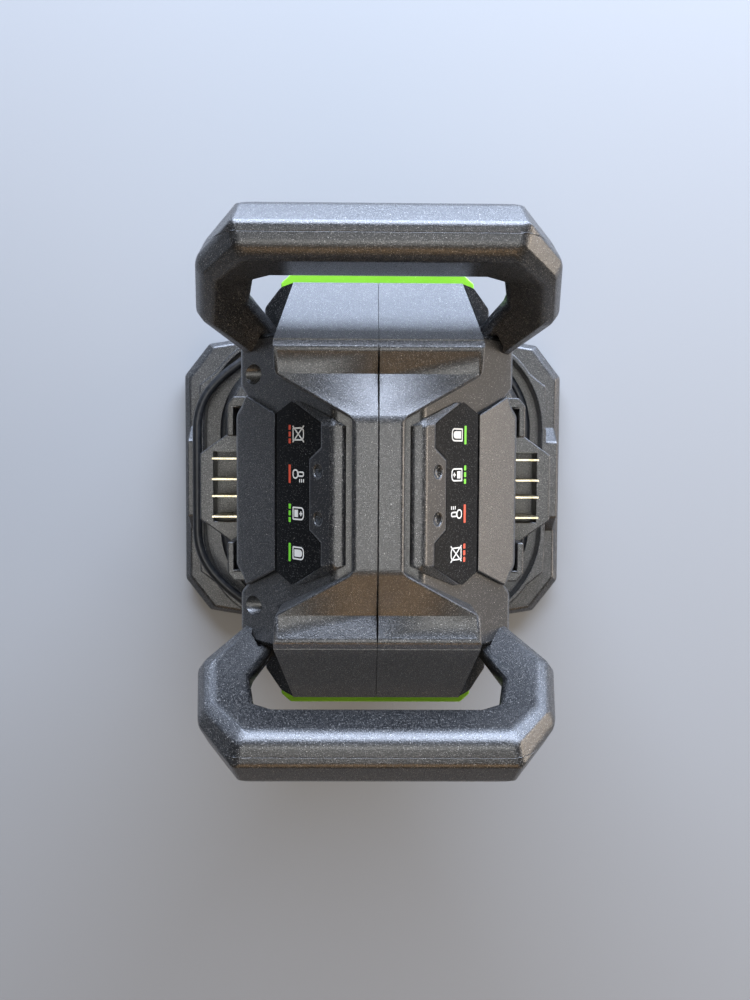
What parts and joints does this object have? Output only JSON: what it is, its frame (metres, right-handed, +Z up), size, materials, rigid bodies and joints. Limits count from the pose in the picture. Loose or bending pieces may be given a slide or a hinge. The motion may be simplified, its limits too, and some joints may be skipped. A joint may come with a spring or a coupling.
{
  "type": "power tool battery charger",
  "caption": "Upright tower charger for two slide-on power tool batteries, with ring handles, a drum base that the mains cord is wound on, and a cooling fan.",
  "frame": {"origin": "middle of the footprint, on the surface that the feet rest on", "axes": "+Z up, X across the two battery docks, Y from handle to handle"},
  "size_m": [0.298, 0.282, 0.32],
  "materials": {
    "black_plastic": "spark-eroded texture",
    "rubber": "satin",
    "lime_plastic": "satin",
    "steel": "zinc plated",
    "brass": "gold plated",
    "legend_film": "semi-gloss film",
    "lens": "smoked",
    "circuit_board": "solder mask",
    "ferrite": "sintered",
    "copper_tape": "polyester tape",
    "aluminium": "extruded",
    "capacitor_sleeve": "shrink sleeve",
    "fuse_ceramic": "glazed"
  },
  "bodies": {
    "charger": {"base_plate": "black_plastic", "base_feet": "rubber", "base_screws": "steel", "cord_drum": "black_plastic", "strain_relief": "rubber", "power_cord": "rubber", "power_plug": "rubber", "plug_blades": "brass", "plug_clip": "black_plastic", "left_housing": "black_plastic", "right_housing": "black_plastic", "housing_screws": "steel", "north_trim": "lime_plastic", "south_trim": "lime_plastic", "north_handle_frame": "black_plastic", "north_handle_cover": "black_plastic", "south_handle_frame": "black_plastic", "south_handle_cover": "black_plastic", "handle_screws": "steel", "left_dock": "black_plastic", "right_dock": "black_plastic", "dock_screws": "steel", "left_contact_blades": "brass", "right_contact_blades": "brass", "left_legend_plate": "legend_film", "right_legend_plate": "legend_film", "left_light_lenses": "lens", "right_light_lenses": "lens", "left_light_board": "circuit_board", "right_light_board": "circuit_board", "main_board": "circuit_board", "transformer_core": "ferrite", "transformer_winding": "copper_tape", "heat_sink": "aluminium", "capacitors": "capacitor_sleeve", "input_fuse": "fuse_ceramic", "fan_frame": "black_plastic"},
    "rotor": {"fan_rotor": "black_plastic"}
  },
  "joints": [
    {"name": "fan_spin", "type": "hinge", "parent": "charger", "child": "rotor", "pos_m": [0, 0.072, 0.095], "axis": [0, 1, 0], "continuous": true}
  ]
}
